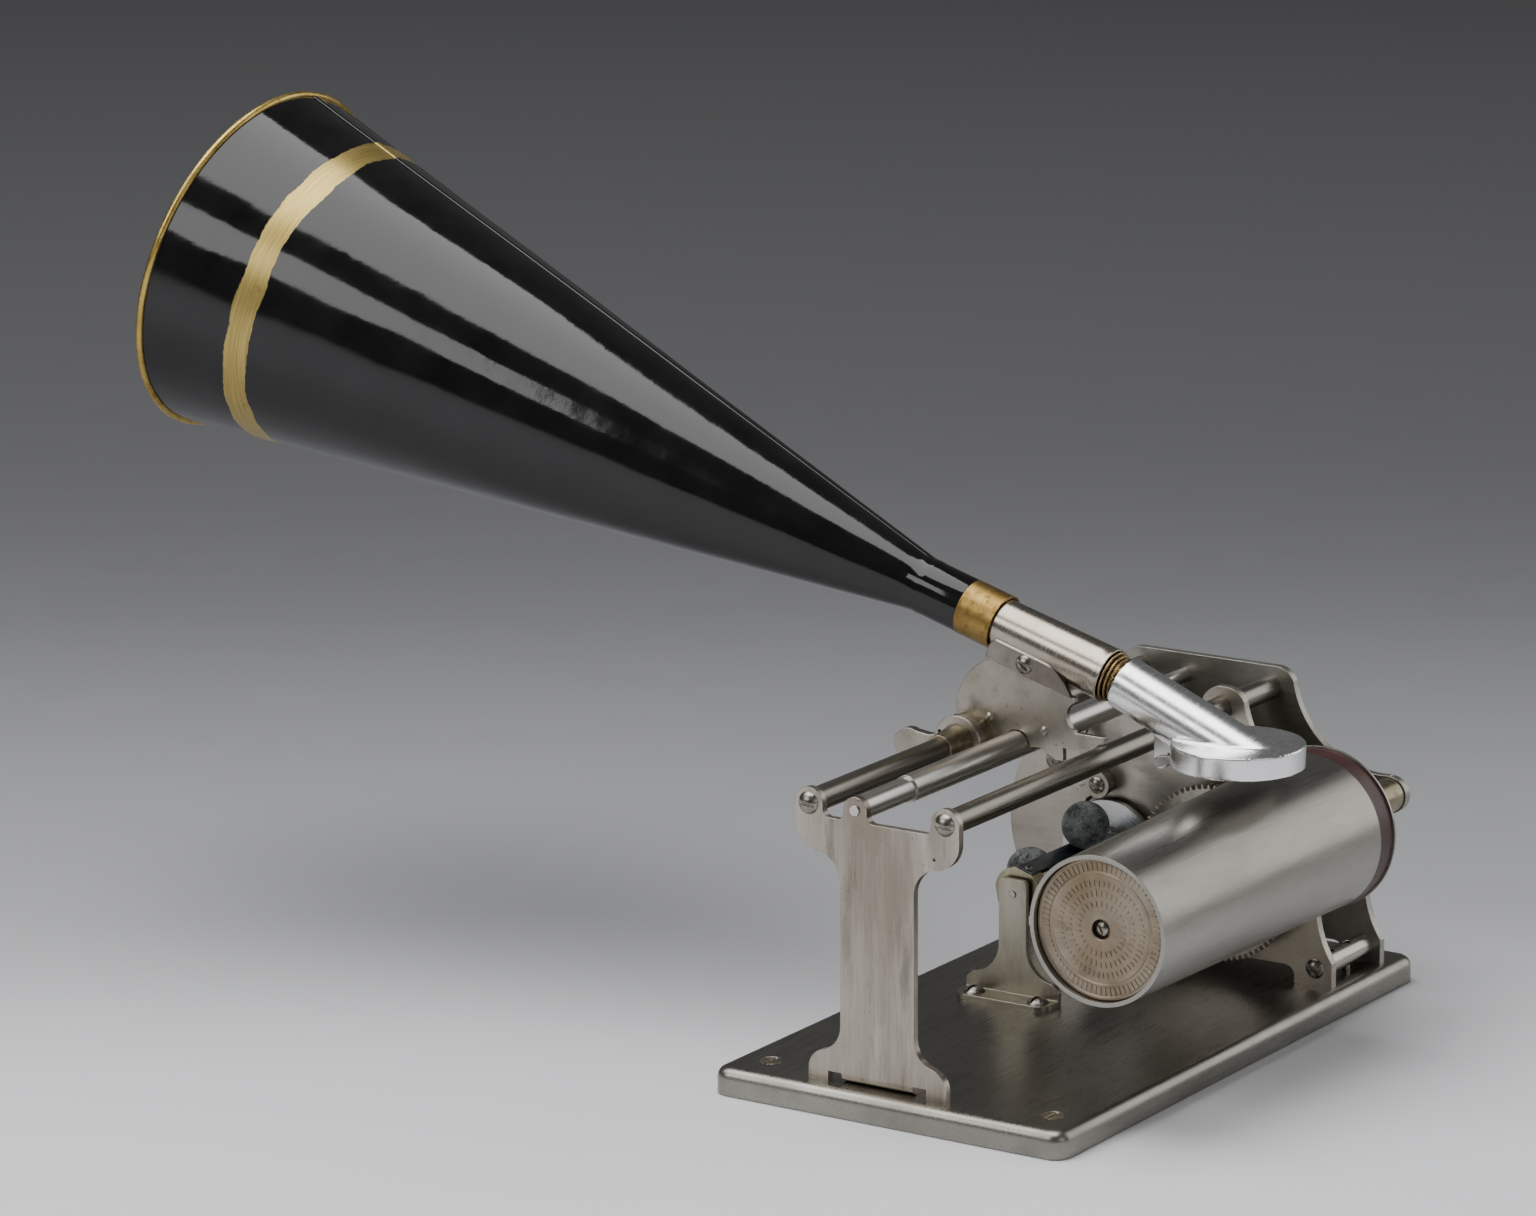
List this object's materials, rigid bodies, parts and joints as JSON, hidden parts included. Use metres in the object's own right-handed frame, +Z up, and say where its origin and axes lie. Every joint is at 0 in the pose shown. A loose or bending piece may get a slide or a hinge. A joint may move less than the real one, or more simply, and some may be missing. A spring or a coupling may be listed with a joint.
{
  "type": "cylinder phonograph",
  "caption": "Spring-driven cylinder phonograph: nickelled bed and motor frame, tapered mandrel, sliding carriage with reproducer, and a straight black horn with a gold rim.",
  "frame": {"origin": "centre of the bedplate's flat underside", "axes": "+X along the mandrel from the end plate to the motor, +Y towards the horn's bell, +Z up"},
  "size_m": [0.2042, 0.3691, 0.2421],
  "materials": {
    "bed_nickel": "brushed nickel plate, worn",
    "plate_nickel": "brushed warm nickel plate",
    "rod_nickel": "drawn steel with worn nickel",
    "screw_steel": "polished nickel",
    "eyelet_brass": "dull brass",
    "olive_nickel": "dull yellowed nickel",
    "drum_nickel": "brushed nickel plate",
    "cap_copper": "nickel worn to copper",
    "fibre": "vulcanised fibre, satin",
    "gear_brass": "machined brass",
    "gear_steel": "machined steel",
    "spring_blue": "blued spring steel",
    "cast_key": "nickelled casting",
    "lead": "oxidised lead, pitted",
    "turned_disc": "turned, bright",
    "brake_steel": "sheet steel",
    "nut_brass": "aged brass",
    "tube_nickel": "polished nickel",
    "cast_aluminium": "polished casting",
    "mica": "clear",
    "stylus_steel": "steel",
    "japan_black": "gloss black japan",
    "ferrule_brass": "aged brass"
  },
  "bodies": {
    "base": {"bedplate": "bed_nickel", "corner_screws": "eyelet_brass", "end_plate": "plate_nickel", "motor_plate_front": "plate_nickel", "motor_plate_rear": "plate_nickel", "rear_rod": "rod_nickel", "front_rod": "rod_nickel", "pillars": "rod_nickel", "rod_screws": "screw_steel", "pillar_screws": "screw_steel", "foot_screws": "screw_steel", "bed_bolts": "screw_steel", "governor_bracket": "olive_nickel", "bracket_screws": "screw_steel", "brake_stud": "screw_steel", "train_studs": "gear_steel", "mainspring": "spring_blue"},
    "mandrel": {"mandrel_drum": "drum_nickel", "mandrel_cap": "cap_copper", "cap_screw": "screw_steel", "mandrel_shaft": "rod_nickel", "fibre_band": "fibre", "mandrel_flange": "drum_nickel", "mandrel_gear": "gear_brass"},
    "great_arbor": {"great_wheel": "gear_steel", "great_arbor": "gear_steel", "governor_wheel": "gear_brass"},
    "step_up": {"step_up_wheel": "gear_brass"},
    "reduction": {"reduction_wheel": "gear_brass"},
    "spring_wheel": {"spring_wheel": "gear_brass"},
    "winding_arbor": {"winding_arbor": "gear_steel"},
    "winding_key": {"winding_key": "cast_key"},
    "click": {"click": "gear_steel"},
    "governor": {"governor_spindle": "gear_steel", "governor_collar": "olive_nickel", "governor_disc": "turned_disc", "governor_springs": "spring_blue", "governor_balls": "lead", "governor_screws": "screw_steel"},
    "brake": {"brake_lever": "brake_steel"},
    "feed_screw": {"feed_screw": "rod_nickel", "feed_gear": "gear_brass"},
    "feed_idler_lower": {"feed_idler_lower": "gear_brass"},
    "feed_idler_upper": {"feed_idler_upper": "gear_brass"},
    "carriage": {"carriage_bushing": "olive_nickel"},
    "arm": {"carriage_plate": "plate_nickel", "carriage_hub": "olive_nickel", "lift_lever": "plate_nickel", "carriage_rivets": "screw_steel", "half_nut": "nut_brass", "half_nut_spring": "brake_steel", "tube_clamp": "plate_nickel", "clamp_screw": "screw_steel", "tone_tube": "tube_nickel", "coupling_rings": "nut_brass"},
    "reproducer": {"reproducer_body": "cast_aluminium", "diaphragm": "mica"},
    "stylus": {"stylus_lever": "stylus_steel"},
    "horn": {"horn": "japan_black", "horn_ferrule": "ferrule_brass"}
  },
  "joints": [
    {"name": "governor_spin", "type": "hinge", "parent": "base", "child": "governor", "pos_m": [0.0543, 0.019, 0.0375], "axis": [1, 0, 0], "continuous": true},
    {"name": "mandrel_spin", "type": "hinge", "parent": "base", "child": "mandrel", "pos_m": [0, -0.0532, 0.0572], "axis": [1, 0, 0], "continuous": true},
    {"name": "great_wheel_spin", "type": "hinge", "parent": "base", "child": "great_arbor", "pos_m": [0.047, -0.01734, 0.03749], "axis": [1, 0, 0], "continuous": true},
    {"name": "step_up_spin", "type": "hinge", "parent": "base", "child": "step_up", "pos_m": [0.0568, 0.00338, 0.03405], "axis": [1, 0, 0], "continuous": true},
    {"name": "reduction_spin", "type": "hinge", "parent": "base", "child": "reduction", "pos_m": [0.0827, -0.00315, 0.02804], "axis": [1, 0, 0], "continuous": true},
    {"name": "spring_wheel_spin", "type": "hinge", "parent": "base", "child": "spring_wheel", "pos_m": [0.0827, 0.0155, 0.047], "axis": [1, 0, 0], "continuous": true},
    {"name": "feed_screw_spin", "type": "hinge", "parent": "base", "child": "feed_screw", "pos_m": [0, 0.0129, 0.0832], "axis": [1, 0, 0], "continuous": true},
    {"name": "feed_idler_lower_spin", "type": "hinge", "parent": "base", "child": "feed_idler_lower", "pos_m": [0.0852, -0.00954, 0.051], "axis": [1, 0, 0], "continuous": true},
    {"name": "feed_idler_upper_spin", "type": "hinge", "parent": "base", "child": "feed_idler_upper", "pos_m": [0.0852, 0.00666, 0.0676], "axis": [1, 0, 0], "continuous": true},
    {"name": "winding_turn", "type": "hinge", "parent": "spring_wheel", "child": "winding_arbor", "pos_m": [0.0827, 0.0155, 0.047], "axis": [1, 0, 0], "continuous": true},
    {"name": "key_pull", "type": "slide", "parent": "winding_arbor", "child": "winding_key", "axis": [1, 0, 0], "range_m": [0, 0.012]},
    {"name": "click_lift", "type": "hinge", "parent": "spring_wheel", "child": "click", "pos_m": [0.0687, 0.0225, 0.05912], "axis": [1, 0, 0], "range_deg": [0, 12], "stiffness_Nm_per_rad": 0.0002, "springref_deg": -5.73},
    {"name": "brake_turn", "type": "hinge", "parent": "base", "child": "brake", "pos_m": [0.0493, 0.0219, 0.0569], "axis": [1, 0, 0], "range_deg": [0, 25]},
    {"name": "carriage_slide", "type": "slide", "parent": "base", "child": "carriage", "axis": [1, 0, 0], "range_m": [-0.06, 0.046]},
    {"name": "carriage_lift", "type": "hinge", "parent": "carriage", "child": "arm", "pos_m": [-0.0095, 0.0275, 0.0832], "axis": [-1, 0, 0], "range_deg": [0, 18]},
    {"name": "reproducer_turn", "type": "hinge", "parent": "arm", "child": "reproducer", "pos_m": [-0.004, -0.01747, 0.1036], "axis": [0, 0.9583, 0.2857], "range_deg": [-15, 15]},
    {"name": "stylus_swing", "type": "hinge", "parent": "reproducer", "child": "stylus", "pos_m": [-0.004, -0.0303, 0.0837], "axis": [1, 0, 0], "range_deg": [-2, 0]},
    {"name": "horn_pull", "type": "slide", "parent": "arm", "child": "horn", "axis": [0, 0.9583, 0.2857], "range_m": [0, 0.03]}
  ],
  "couplings": [
    {"joint": "step_up_spin", "follows": "governor_spin", "ratio": -0.23077},
    {"joint": "great_wheel_spin", "follows": "governor_spin", "ratio": 0.038462},
    {"joint": "mandrel_spin", "follows": "governor_spin", "ratio": -0.059172},
    {"joint": "reduction_spin", "follows": "governor_spin", "ratio": -0.0092308},
    {"joint": "spring_wheel_spin", "follows": "governor_spin", "ratio": 0.0017308},
    {"joint": "feed_idler_lower_spin", "follows": "governor_spin", "ratio": -0.013263},
    {"joint": "feed_idler_upper_spin", "follows": "governor_spin", "ratio": 0.013263},
    {"joint": "feed_screw_spin", "follows": "governor_spin", "ratio": -0.029586}
  ]
}
